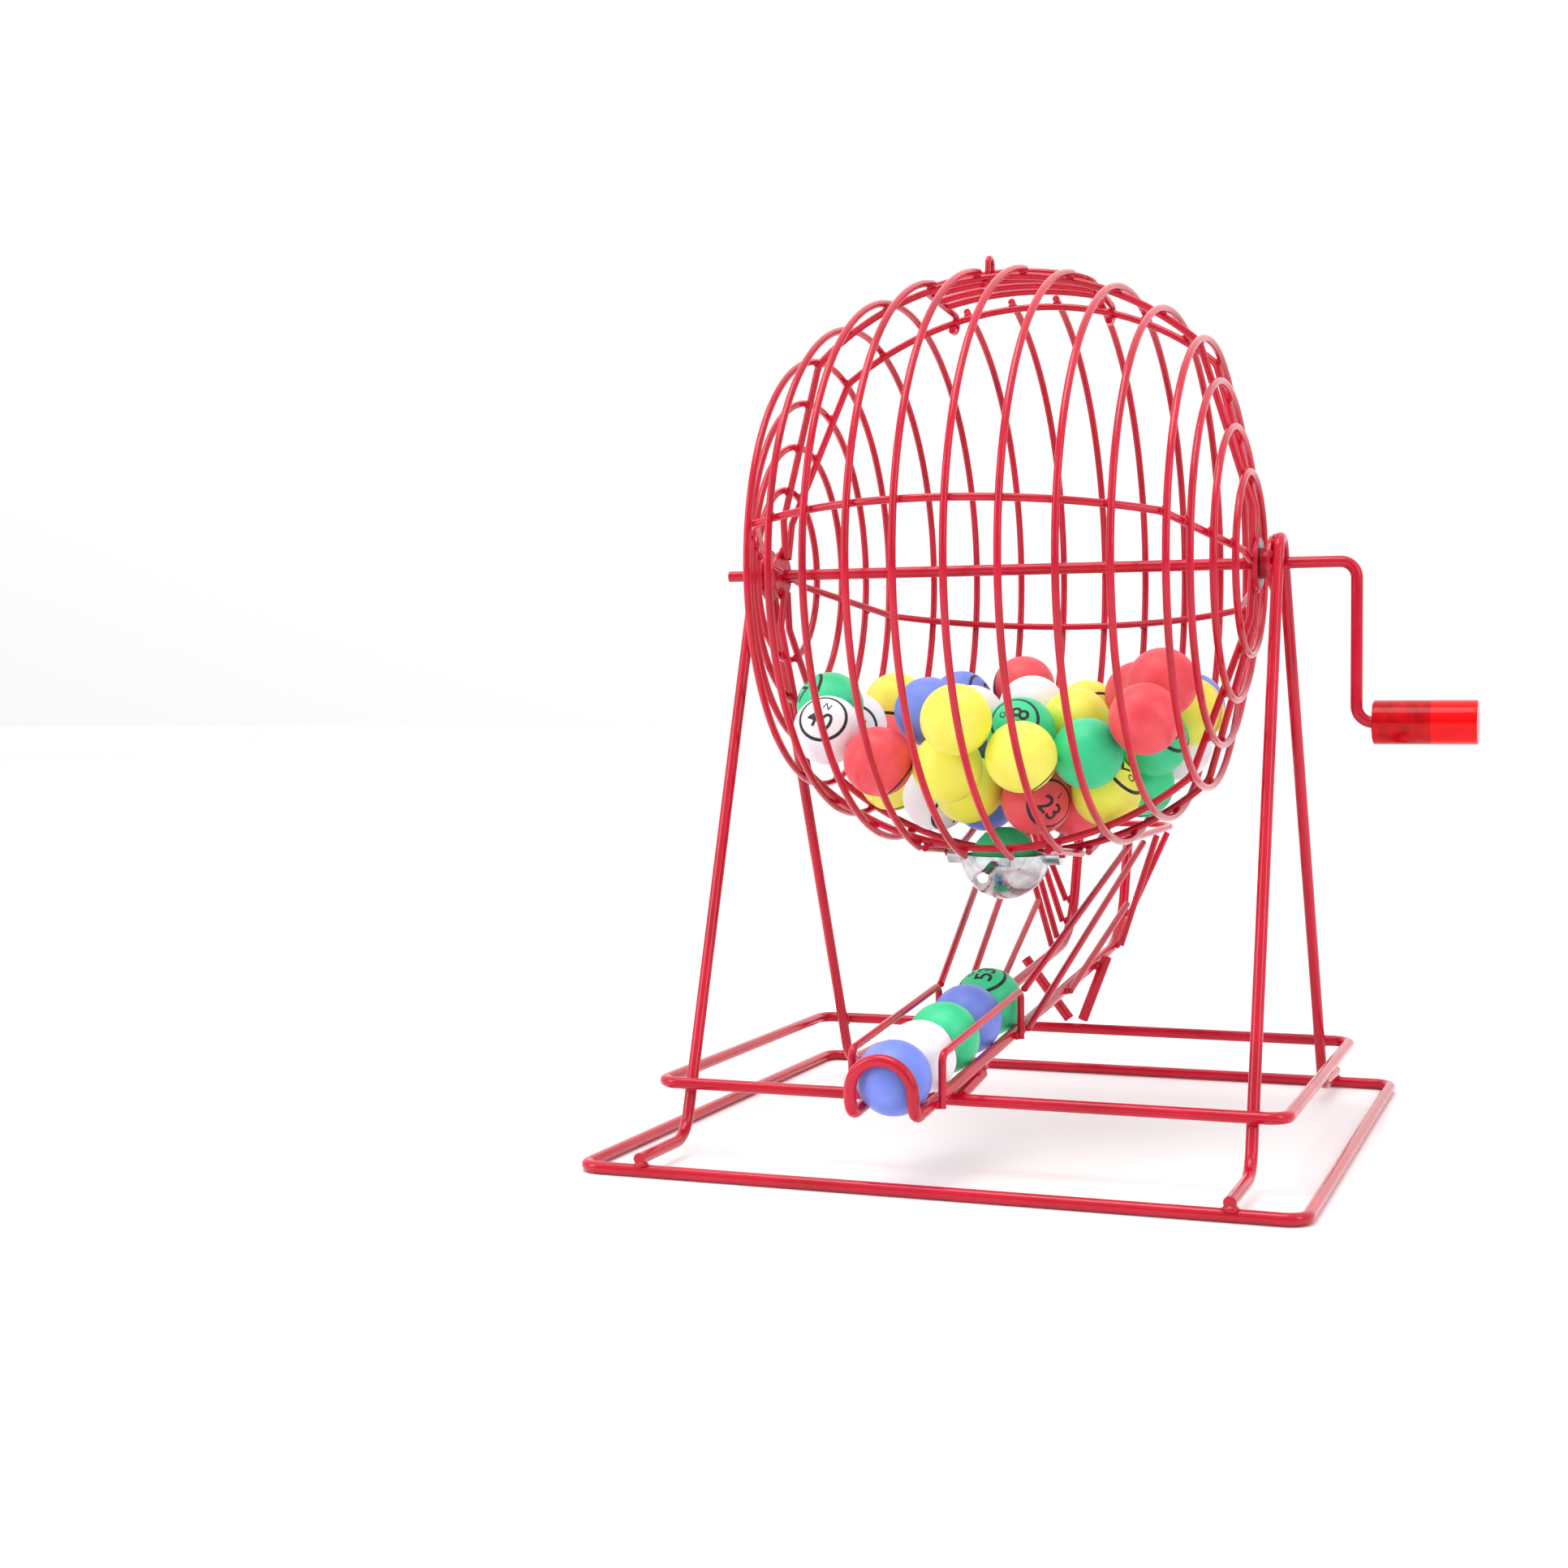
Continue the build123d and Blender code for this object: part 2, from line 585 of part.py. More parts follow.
def settle_balls():
    """Drops the cage's balls in a pile behind the front ones; seeded, and keeps every ball apart."""
    rng = np.random.default_rng(SEED)
    reach = RIB_R - FINE / 2 - BALL_R - 0.35
    left = dict(CAGE_BALL_COUNTS)
    for *_, colour in FRONT_BALLS:
        left[colour] -= 1
    colours = [colour for *_, colour in FRONT_BALLS]
    rest = [colour for colour, count in left.items() for _ in range(count)]
    rng.shuffle(rest)
    front = np.array([place[:3] for place in FRONT_BALLS], dtype=float)
    p = np.vstack([front, rng.uniform((-90, 0, -120), (90, 100, -50), (len(rest), 3))])
    held, loose = p[: len(front)], p[len(front) :]
    for step in range(DROP_STEPS + SETTLE_STEPS):
        if step < DROP_STEPS:
            off = front - held
            held += (off - np.outer(off @ SLIDE, SLIDE)) * HOLD - SLIDE * PRESS
            loose[:, 2] -= FAST_FALL if step < FAST_STEPS else SLOW_FALL
        if step < SHAKEN_STEPS:
            loose += rng.normal(0, JITTER, loose.shape)
        p += separate(p, 2 * BALL_R + BALL_GAP)
        p[:] = keep_inside(p, reach)
    return p, colours + rest


def separate(p, distance):
    """Half-steps that push overlapping balls apart."""
    delta = p[:, None, :] - p[None, :, :]
    length = np.linalg.norm(delta, axis=2) + np.eye(len(p)) * 1e6
    push = np.clip(distance - length, 0, None) * 0.5
    return (delta / length[:, :, None] * push[:, :, None]).sum(axis=1) * 0.9


def carried_circles():
    """Place along the axle, radius and distance to keep, for each thing that turns inside the ribs."""
    cup_ball = -CUP_AXIS.Z + AXLE_Z + CUP_R - CUP_WALL - BALL_R
    hook = HINGE_R - HOOK_R
    latch = min(
        math.hypot(point.Y, point.Z - AXLE_Z)
        for point in (
            LATCH_PIVOT + OUTWARD * LATCH_DEPTH,
            LATCH_PIVOT + OUTWARD * LATCH_DEPTH + FORWARD * LATCH_REACH,
        )
    )
    return [
        (0.0, math.hypot(cup_ball, CUP_AXIS.Y), 2 * BALL_R + 0.5),
        (-HOOK_U, hook, BALL_R + FINE / 2 + 0.5),
        (HOOK_U, hook, BALL_R + FINE / 2 + 0.5),
        (LATCH_U, latch, BALL_R + LATCH_WIRE / 2 + 0.5),
    ]


def keep_inside(p, reach):
    """Holds the balls inside the ribs and clear of all that the turning cage carries round."""
    p = p.copy()
    # the round middle
    length = np.linalg.norm(p, axis=1)
    p *= np.minimum(1.0, reach / length)[:, None]
    # the two cones
    radius = np.hypot(p[:, 1], p[:, 2])
    limit = CONE_OFFSET - FINE / 2 - BALL_R - 0.35
    over = np.abs(p[:, 0]) * math.cos(CONE_TILT) + radius * math.sin(CONE_TILT) - limit
    over = np.clip(over, 0, None)
    p[:, 0] -= np.sign(p[:, 0]) * over * math.cos(CONE_TILT)
    radius = shrink_radius(p, over * math.sin(CONE_TILT))
    # the paths of the things carried round inside the ribs
    for u, carried, keep in carried_circles():
        away = np.hypot(p[:, 0] - u, radius - carried)
        near = np.clip(keep - away, 0, None)
        p[:, 0] += (p[:, 0] - u) / (away + 1e-9) * near
        radius = shrink_radius(p, (carried - radius) / (away + 1e-9) * near)
    # the path of the cup's ears
    ear_edge = CUP_AXIS_R - EAR_R - 0.4
    beside = np.clip(np.abs(p[:, 0]) - EAR_END, 0, None)
    allowed = ear_edge - np.sqrt(np.clip((BALL_R + 0.4) ** 2 - beside**2, 0, None))
    under = np.where(beside < BALL_R, np.clip(radius - allowed, 0, None), 0)
    shrink_radius(p, under)
    # room for the cup to swing where it hangs
    hinge = np.array([0.0, CUP_AXIS.Y, CUP_AXIS.Z - AXLE_Z])
    offset = p - hinge
    away = np.linalg.norm(offset, axis=1)
    near = np.clip(CUP_R + BALL_R + 0.6 - away, 0, None)
    p += offset / away[:, None] * near[:, None]
    return p


def shrink_radius(p, amount):
    """Moves balls towards the axle by an amount each, in place, and gives their new radii."""
    radius = np.hypot(p[:, 1], p[:, 2])
    scale = (radius - amount) / radius
    p[:, 1] *= scale
    p[:, 2] *= scale
    return radius - amount


def report_clearance(p):
    """Prints the smallest gap between settled balls."""
    delta = np.linalg.norm(p[:, None, :] - p[None, :, :], axis=2) + np.eye(len(p)) * 1e6
    print("smallest gap between caged balls", round(float(delta.min() - 2 * BALL_R), 3))
    print("pile reaches", round(float(p[:, 2].max() + AXLE_Z + BALL_R), 1))


# ================================================================ write every node
def write_stand():
    save("base_frame", flat_frame(BASE_HALF_X, BASE_HALF_Y, HEAVY / 2))
    save("tier_frame", flat_frame(TIER_HALF_X, TIER_HALF_Y, TIER_Z))
    for side, name in ((-1, "left"), (1, "right")):
        save(f"leg_{name}", leg(side))
        save(f"bearing_{name}", bearing(side))
        save(f"track_bracket_{name}", bracket(side))
        save(f"rear_support_{name}", rear_support(side))
        save(f"guard_rail_{name}", guard_rail(side, name))
        save(f"chute_wires_{name}", side_wires(side, name))
    save("track_rails", track_rails())
    save("chute_rim", chute_rim())
    save("chute_ribs_left", wall_ribs(-1, [(4, 352), (20, 366), (40, 380), (60, 392)]))
    save("chute_ribs_right", wall_ribs(1, [(12, 362), (50, 390)]))


def write_cage():
    save("axle_crank", axle_crank())
    for side, name in ((-1, "left"), (1, "right")):
        save(f"hub_{name}", hub(side))
        save(f"cup_hanger_{name}", cup_hanger(side))
    one_rib = rib()
    for name, angle in RIB_ANGLES.items():
        save(name, turned(angle) * one_rib)
    for side, name in ((-1, "left"), (1, "right")):
        for index, (u, radius) in enumerate(ring_places(), start=1):
            make = cut_ring if index <= CUT_RINGS else ring
            lean = RING_LEAN if index <= LEANING_RINGS else 0.0
            save(f"ring_{name}_{index}", make(side * u, radius, lean))
    save("hatch_frame", hatch_frame())
    save("hatch_bars", hatch_bars())
    save("hatch_latch", hatch_latch())
    save("exit_cup", exit_cup())
    save("cup_stop_pins", cup_stops())
    save("crank_grip", grip())


def write_balls():
    settled, colours = settle_balls()
    report_clearance(settled)
    centres = {colour: [] for colour in CAGE_BALL_COUNTS}
    for place, colour in zip(settled, colours):
        centres[colour].append(Vector(CAGE_X + place[0], place[1], AXLE_Z + place[2]))
    for colour, places in centres.items():
        save(f"cage_balls_{colour}", group(ball(place) for place in places))
    row = list(zip(TRACK_BALLS, track_ball_centres()))
    for colour in sorted(set(TRACK_BALLS)):
        save(f"track_balls_{colour}", group(ball(place) for name, place in row if name == colour))
    drawn = CUP_AXIS - Vector(0, 0, CUP_R - CUP_WALL - BALL_R - TOUCH)
    save("ball_in_cup", ball(drawn))


write_stand()
write_cage()
write_balls()
print("cup axis", CUP_AXIS, "hatch hinge", HINGE, "latch pivot", LATCH_PIVOT)
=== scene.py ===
import json
import math
import random

import bmesh
import bpy
from mathutils import Matrix, Vector, noise
from mathutils.bvhtree import BVHTree


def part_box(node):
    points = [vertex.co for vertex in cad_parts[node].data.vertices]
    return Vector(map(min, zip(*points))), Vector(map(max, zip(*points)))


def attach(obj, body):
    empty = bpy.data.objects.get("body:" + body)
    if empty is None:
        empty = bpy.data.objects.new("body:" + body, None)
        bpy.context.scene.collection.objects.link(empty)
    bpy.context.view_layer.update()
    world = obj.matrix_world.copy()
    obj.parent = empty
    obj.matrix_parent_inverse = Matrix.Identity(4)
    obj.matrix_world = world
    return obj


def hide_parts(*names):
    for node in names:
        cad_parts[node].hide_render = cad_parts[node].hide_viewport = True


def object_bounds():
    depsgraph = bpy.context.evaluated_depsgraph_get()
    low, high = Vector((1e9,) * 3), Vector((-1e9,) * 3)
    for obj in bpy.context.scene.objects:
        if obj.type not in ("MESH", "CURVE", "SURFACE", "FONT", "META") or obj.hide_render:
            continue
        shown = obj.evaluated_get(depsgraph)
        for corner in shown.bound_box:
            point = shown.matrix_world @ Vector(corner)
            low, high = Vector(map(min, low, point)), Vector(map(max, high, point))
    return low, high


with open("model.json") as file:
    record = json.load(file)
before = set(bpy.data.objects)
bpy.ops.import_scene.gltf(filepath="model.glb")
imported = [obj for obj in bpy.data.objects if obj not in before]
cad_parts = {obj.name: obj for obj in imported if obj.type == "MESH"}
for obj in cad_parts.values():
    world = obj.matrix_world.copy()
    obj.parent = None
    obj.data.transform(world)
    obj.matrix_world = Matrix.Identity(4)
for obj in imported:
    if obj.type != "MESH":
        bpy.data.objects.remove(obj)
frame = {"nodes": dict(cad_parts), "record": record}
CAD_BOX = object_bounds()
NODES = frame["nodes"]
MM = 0.001
SMOOTH_ANGLE = math.radians(38)
random.seed(75)

# ---------------------------------------------------------------- materials


def srgb(r, g, b):
    """A colour given as it looks on a screen, as the linear values that nodes take."""
    return tuple(c / 12.92 if c <= 0.04045 else ((c + 0.055) / 1.055) ** 2.4 for c in (r, g, b)) + (1.0,)


class Paint:
    """A node material with a Principled surface and a few helpers to dress it."""

    def __init__(self, name):
        self.material = bpy.data.materials.new(name)
        self.material.use_nodes = True
        self.tree = self.material.node_tree
        self.bsdf = self.tree.nodes["Principled BSDF"]
        self.coords = self.add("ShaderNodeTexCoord")

    def add(self, kind, **values):
        node = self.tree.nodes.new(kind)
        for key, value in values.items():
            if key in node.inputs:
                node.inputs[key].default_value = value
            else:
                setattr(node, key, value)
        return node

    def link(self, source, target):
        self.tree.links.new(source, target)

    def set(self, **values):
        for key, value in values.items():
            self.bsdf.inputs[key.replace("_", " ")].default_value = value

    def noise(self, scale, detail=3.0, rough=0.5):
        node = self.add("ShaderNodeTexNoise", Scale=scale, Detail=detail, Roughness=rough)
        self.link(self.coords.outputs["Object"], node.inputs["Vector"])
        return node.outputs["Fac"]

    def ramp(self, source, *stops):
        """Maps a value to colours: stops are (position, colour)."""
        node = self.add("ShaderNodeValToRGB")
        elements = node.color_ramp.elements
        while len(elements) < len(stops):
            elements.new(0.5)
        for element, (position, colour) in zip(elements, stops):
            element.position = position
            element.color = colour
        self.link(source, node.inputs["Fac"])
        return node.outputs["Color"]

    def span(self, source, low, high, start=0.35, end=0.65):
        """Maps a value between start and end to low and high."""
        node = self.add("ShaderNodeMapRange")
        for key, value in (("From Min", start), ("From Max", end), ("To Min", low), ("To Max", high)):
            node.inputs[key].default_value = value
        self.link(source, node.inputs["Value"])
        return node.outputs["Result"]

    def mix(self, factor, first, second):
        node = self.add("ShaderNodeMix", data_type="RGBA")
        for socket, value in ((node.inputs[6], first), (node.inputs[7], second)):
            if isinstance(value, tuple):
                socket.default_value = value
            else:
                self.link(value, socket)
        if isinstance(factor, float):
            node.inputs[0].default_value = factor
        else:
            self.link(factor, node.inputs[0])
        return node.outputs[2]

    def bump(self, source, strength, distance):
        node = self.add("ShaderNodeBump", Strength=strength, Distance=distance)
        self.link(source, node.inputs["Height"])
        if self.bsdf.inputs["Normal"].is_linked:
            self.link(self.bsdf.inputs["Normal"].links[0].from_socket, node.inputs["Normal"])
        self.link(node.outputs["Normal"], self.bsdf.inputs["Normal"])

    def colour(self, source):
        self.link(source, self.bsdf.inputs["Base Color"])

    def roughness(self, source):
        self.link(source, self.bsdf.inputs["Roughness"])

    def facing_x(self):
        """1 on faces that look along the axle, 0 elsewhere."""
        split = self.add("ShaderNodeSeparateXYZ")
        self.link(self.coords.outputs["Normal"], split.inputs["Vector"])
        size = self.add("ShaderNodeMath", operation="ABSOLUTE")
        self.link(split.outputs["X"], size.inputs[0])
        return self.span(size.outputs[0], 0.0, 1.0, 0.9, 0.97)


COAT_LIT = srgb(0.81, 0.06, 0.20)
COAT_DEEP = srgb(0.70, 0.03, 0.14)
COAT_SPECK = srgb(0.35, 0.06, 0.06)


def coat_colour(paint):
    base = paint.ramp(paint.noise(22.0, 4.0), (0.3, COAT_DEEP), (0.7, COAT_LIT))
    specks = paint.span(paint.noise(520.0, 2.0), 0.0, 1.0, 0.765, 0.80)
    return paint.mix(specks, base, COAT_SPECK)


def red_coat():
    """Glossy powder coat: faint orange peel, uneven gloss, a few dark specks."""
    paint = Paint("red_coat")
    paint.colour(coat_colour(paint))
    paint.roughness(paint.span(paint.noise(70.0), 0.12, 0.22))
    paint.bump(paint.noise(420.0, 2.0), 0.03, 0.0003)
    paint.bump(paint.noise(90.0, 3.0), 0.06, 0.0006)
    paint.set(Coat_Weight=0.2, Coat_Roughness=0.05, Specular_IOR_Level=0.32)
    return paint.material


def hub_steel():
    """A washer coated red, its outer face worn bare against the bearing."""
    paint = Paint("hub_steel")
    split = paint.add("ShaderNodeSeparateXYZ")
    paint.link(paint.coords.outputs["Object"], split.inputs["Vector"])
    bare = paint.ramp(paint.noise(260.0, 5.0), (0.3, srgb(0.36, 0.34, 0.34)), (0.7, srgb(0.66, 0.64, 0.63)))
    side = paint.add("ShaderNodeMath", operation="SIGN")
    paint.link(split.outputs["X"], side.inputs[0])
    normal = paint.add("ShaderNodeSeparateXYZ")
    paint.link(paint.coords.outputs["Normal"], normal.inputs["Vector"])
    outward = paint.add("ShaderNodeMath", operation="MULTIPLY")
    paint.link(normal.outputs["X"], outward.inputs[0])
    paint.link(side.outputs[0], outward.inputs[1])
    worn = paint.span(outward.outputs[0], 0.0, 1.0, 0.9, 0.97)
    paint.colour(paint.mix(worn, coat_colour(paint), bare))
    paint.link(worn, paint.bsdf.inputs["Metallic"])
    paint.roughness(paint.span(paint.noise(180.0), 0.25, 0.45))
    paint.bump(paint.noise(900.0, 3.0), 0.15, 0.0003)
    return paint.material


def chrome():
    paint = Paint("chrome")
    paint.colour(paint.ramp(paint.noise(300.0), (0.3, srgb(0.80, 0.80, 0.82)), (0.7, srgb(0.93, 0.93, 0.95))))
    paint.roughness(paint.span(paint.noise(900.0, 4.0), 0.05, 0.16))
    paint.set(Metallic=1.0)
    return paint.material


def cup_metal():
    """Bright plated casting: mottled, a little wavy, unevenly polished."""
    paint = Paint("cup_metal")
    mottle = paint.noise(120.0, 6.0, 0.7)
    paint.colour(paint.ramp(mottle, (0.35, srgb(0.66, 0.66, 0.67)), (0.65, srgb(0.86, 0.86, 0.87))))
    paint.roughness(paint.span(paint.noise(330.0, 6.0, 0.7), 0.10, 0.30))
    paint.bump(paint.noise(60.0, 4.0), 0.25, 0.0010)
    paint.set(Metallic=1.0)
    return paint.material


BORE_END = (0.2225, 0.2235)  # along the axle, in metres: painted shade of the bore before, clear after


def grip_acrylic():
    """Translucent red acrylic, frosted at the ends, with painted shade of the bore darkening its inner half.
    """
    paint = Paint("grip_acrylic")
    split = paint.add("ShaderNodeSeparateXYZ")
    paint.link(paint.coords.outputs["Object"], split.inputs["Vector"])
    # painted shade mask: 1 on the grip's inner half along the axle, where the bore's shade is painted, 0 past
    # BORE_END
    bore_shade_mask = paint.span(split.outputs["X"], 1.0, 0.0, *BORE_END)
    clear = paint.ramp(paint.noise(40.0), (0.3, srgb(0.84, 0.0, 0.02)), (0.7, srgb(0.93, 0.01, 0.04)))
    # painted shade: a deeper red standing for the bore seen through the acrylic
    dark = paint.ramp(paint.noise(160.0, 5.0), (0.35, srgb(0.66, 0.0, 0.03)), (0.65, srgb(0.80, 0.01, 0.06)))
    end = paint.ramp(paint.noise(500.0, 4.0), (0.3, srgb(0.90, 0.52, 0.58)), (0.7, srgb(0.97, 0.66, 0.70)))
    ends = paint.facing_x()
    paint.colour(paint.mix(ends, paint.mix(bore_shade_mask, clear, dark), end))
    paint.roughness(paint.span(ends, 0.08, 0.5, 0.0, 1.0))
    paint.bump(paint.noise(700.0, 3.0), 0.02, 0.0003)
    paint.set(IOR=1.49, Specular_IOR_Level=0.22)
    return paint.material


def ball_plastic(name, dark, light):
    """Thin celluloid-like shell: satin, faintly mottled, with dusty scuffs."""
    paint = Paint(name)
    mottle = paint.ramp(paint.noise(55.0, 4.0), (0.3, dark), (0.7, light))
    scuff = paint.span(paint.noise(240.0, 6.0, 0.7), 0.0, 0.14, 0.64, 0.80)
    paint.colour(paint.mix(scuff, mottle, (0.9, 0.9, 0.9, 1.0)))
    paint.roughness(paint.span(paint.noise(130.0, 4.0), 0.34, 0.52))
    paint.bump(paint.noise(1100.0, 3.0), 0.10, 0.0003)
    paint.set(Specular_IOR_Level=0.45, Subsurface_Weight=0.12, Subsurface_Scale=0.004)
    return paint.material


def print_ink():
    """Black pad print, slightly patchy."""
    paint = Paint("print_ink")
    patches = paint.noise(700.0, 4.0)
    paint.colour(paint.ramp(patches, (0.35, srgb(0.05, 0.06, 0.07)), (0.75, srgb(0.16, 0.18, 0.19))))
    paint.roughness(paint.span(paint.noise(400.0), 0.35, 0.55))
    return paint.material


BALL_PAINT = {
    "blue": ball_plastic("ball_blue", srgb(0.42, 0.51, 0.88), srgb(0.49, 0.58, 0.93)),
    "green": ball_plastic("ball_green", srgb(0.16, 0.80, 0.54), srgb(0.26, 0.88, 0.63)),
    "red": ball_plastic("ball_red", srgb(0.90, 0.27, 0.31), srgb(0.96, 0.36, 0.40)),
    "white": ball_plastic("ball_white", srgb(0.93, 0.93, 0.96), srgb(0.98, 0.98, 1.0)),
    "yellow": ball_plastic("ball_yellow", srgb(0.94, 0.95, 0.30), srgb(0.98, 0.98, 0.44)),
}
RED, INK = red_coat(), print_ink()
SLOT_PAINT = {
    "red_coat": RED,
    "bare_steel": hub_steel(),
    "chrome": chrome(),
    "cup_metal": cup_metal(),
    "grip_acrylic": grip_acrylic(),
    **{f"ball_{colour}": paint for colour, paint in BALL_PAINT.items()},
}


def dress_cad():
    """Gives every CAD node its material and smooth shading across its gentle edges."""
    slots = {part["node"]: part["material_slot"] for part in frame["record"]["subparts"]}
    for name, node in NODES.items():
        node.data.materials.clear()
        node.data.materials.append(SLOT_PAINT[slots[name]])
        node.data.polygons.foreach_set("use_smooth", [True] * len(node.data.polygons))
        node.data.set_sharp_from_angle(angle=SMOOTH_ANGLE)


def new_object(name, data, body, material):
    piece = bpy.data.objects.new(name, data)
    bpy.context.scene.collection.objects.link(piece)
    data.materials.append(material)
    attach(piece, body)
    return piece


# ---------------------------------------------------------------- balls
BALL_R = 19.0 * MM
BALL_SEGMENTS, RING_SEGMENTS = 60, 96
SEAM_RADIUS = 0.9945  # of the ball's radius
GLYPH_OFFSET, GLYPH_EDGE, GLYPH_GAP = 0.012, 0.22, 0.09  # stroke's thickening, longest edge, spacing
PRINT_RING = (0.69, 0.79)  # inner and outer angle of the printed ring, radians
NUMBER_HEIGHT, LETTER_HEIGHT = 10.2 * MM, 4.2 * MM
NUMBER_LOW, LETTER_HIGH = 2.6 * MM, 6.4 * MM
INK_TOP, INK_ROOT = 0.04 * MM, -0.06 * MM
NUMBERS = {"blue": (1, "B"), "red": (16, "I"), "white": (31, "N"), "green": (46, "G"), "yellow": (61, "O")}
ON_THE_BOARD = (16, 46, 10, 63, 26, 34, 72, 58, 28, 6, 45, 75, 8)  # balls that aren't here


def ball_centres(node):
    """Centres of a node's balls, from the boxes of its separate shells."""
    mesh = NODES[node].data
    links = list(range(len(mesh.vertices)))

    def root(i):
        while links[i] != i:
            links[i] = links[links[i]]
            i = links[i]
        return i

    for edge in mesh.edges:
        a, b = root(edge.vertices[0]), root(edge.vertices[1])
        if a != b:
            links[a] = b
    shells = {}
    for vertex in mesh.vertices:
        shells.setdefault(root(vertex.index), []).append(vertex.co)
    centres = []
    for points in shells.values():
        low = Vector([min(p[k] for p in points) for k in range(3)])
        high = Vector([max(p[k] for p in points) for k in range(3)])
        centre = (low + high) / 2
        if (high - low).length > 1.2 * BALL_R and all((centre - c).length > BALL_R for c in centres):
            centres.append(centre)
    return sorted(centres, key=lambda c: (round(c.y, 3), round(c.x, 3)))


def seamed_ball():
    """Points and faces of a unit ball with a fine moulding seam round its middle."""
    latitudes = [math.radians(a) for a in range(-84, 0, 6)] + [math.radians(-2.0), math.radians(-0.7)]
    latitudes = latitudes + [0.0] + [-a for a in reversed(latitudes)]
    around = BALL_SEGMENTS
    points, faces = [(0, 0, -1)], []
    for row, latitude in enumerate(latitudes):
        radius = SEAM_RADIUS if latitude == 0.0 else 1.0
        for k in range(around):
            a = 2 * math.pi * k / around
            flat = radius * math.cos(latitude)
            points.append((flat * math.cos(a), flat * math.sin(a), radius * math.sin(latitude)))
        base = 1 + row * around
        for k in range(around):
            n = (k + 1) % around
            if row == 0:
                faces.append((0, base + n, base + k))
            else:
                faces.append((base - around + k, base - around + n, base + n, base + k))
    points.append((0, 0, 1))
    top, last = len(points) - 1, 1 + (len(latitudes) - 1) * around
    faces += [(last + k, last + (k + 1) % around, top) for k in range(around)]
    return points, faces


GLYPHS = {}


def glyph(character):
    """Flat outline of a character as (points, faces, rim, width), one unit tall, finely divided."""
    if character in GLYPHS:
        return GLYPHS[character]
    curve = bpy.data.curves.new("glyph", "FONT")
    curve.body = character
    curve.offset = GLYPH_OFFSET
    holder = bpy.data.objects.new("glyph", curve)
    bpy.context.scene.collection.objects.link(holder)
    bpy.context.view_layer.update()
    mesh = bpy.data.meshes.new_from_object(holder)
    bpy.data.objects.remove(holder)
    bpy.data.curves.remove(curve)
    shape = bmesh.new()
    shape.from_mesh(mesh)
    bpy.data.meshes.remove(mesh)
    bmesh.ops.remove_doubles(shape, verts=shape.verts, dist=1e-5)
    bmesh.ops.triangulate(shape, faces=shape.faces)
    for _ in range(3):
        long_edges = [e for e in shape.edges if e.calc_length() > GLYPH_EDGE]
        if not long_edges:
            break
        bmesh.ops.subdivide_edges(shape, edges=long_edges, cuts=1)
        bmesh.ops.triangulate(shape, faces=shape.faces)
    xs = [v.co.x for v in shape.verts]
    ys = [v.co.y for v in shape.verts]
    tall = max(ys) - min(ys)
    shape.verts.index_update()
    points = [((v.co.x - min(xs)) / tall, (v.co.y - min(ys)) / tall - 0.5) for v in shape.verts]
    faces = [tuple(v.index for v in f.verts) for f in shape.faces]
    rim = [tuple(v.index for v in e.verts) for e in shape.edges if e.is_boundary]
    shape.free()
    GLYPHS[character] = (points, faces, rim, (max(xs) - min(xs)) / tall)
    return GLYPHS[character]


class Ink:
    """Collects the printed marks of many balls in one mesh."""

    def __init__(self):
        self.points, self.faces = [], []

    def add(self, centre, turn, flat_points, faces, rim):
        """Wraps a flat shape, in metres about the print's middle, onto a ball."""
        first, count = len(self.points), len(flat_points)
        for height in (INK_TOP, INK_ROOT):
            for x, y in flat_points:
                length = math.hypot(x, y)
                angle = length / BALL_R
                side = math.sin(angle) / length if length > 1e-9 else 0.0
                direction = Vector((x * side, y * side, math.cos(angle)))
                self.points.append(centre + turn @ (direction * (BALL_R + height)))
        self.faces += [tuple(first + i for i in f) for f in faces]
        self.faces += [tuple(first + count + i for i in reversed(f)) for f in faces]
        self.faces += [(first + a, first + a + count, first + b + count, first + b) for a, b in rim]

    def text(self, centre, turn, characters, tall, middle):
        widths = [glyph(c)[3] * tall for c in characters]
        gap = GLYPH_GAP * tall
        x = -(sum(widths) + gap * (len(characters) - 1)) / 2
        for character, width in zip(characters, widths):
            points, faces, rim, _ = glyph(character)
            self.add(centre, turn, [(x + px * tall, middle + py * tall) for px, py in points], faces, rim)
            x += width + gap

    def ring(self, centre, turn):
        around = RING_SEGMENTS
        points, faces, rim = [], [], []
        for k in range(around):
            a = 2 * math.pi * k / around
            points += [(BALL_R * r * math.cos(a), BALL_R * r * math.sin(a)) for r in PRINT_RING]
            inner, outer = 2 * k, 2 * k + 1
            next_inner, next_outer = (2 * k + 2) % (2 * around), (2 * k + 3) % (2 * around)
            faces.append((inner, outer, next_outer, next_inner))
            rim += [(outer, next_outer), (next_inner, inner)]
        self.add(centre, turn, points, faces, rim)


def facing(direction, roll):
    """A turn that points a ball's print along direction, its top up, then rolled by roll degrees."""
    ahead = Vector(direction).normalized()
    right = Vector((0, 0, 1)).cross(ahead)
    right = right.normalized() if right.length > 1e-3 else Vector((1, 0, 0))
    up = ahead.cross(right)
    basis = Matrix((right, up, ahead)).transposed()
    return basis @ Matrix.Rotation(math.radians(roll), 3, "Z")


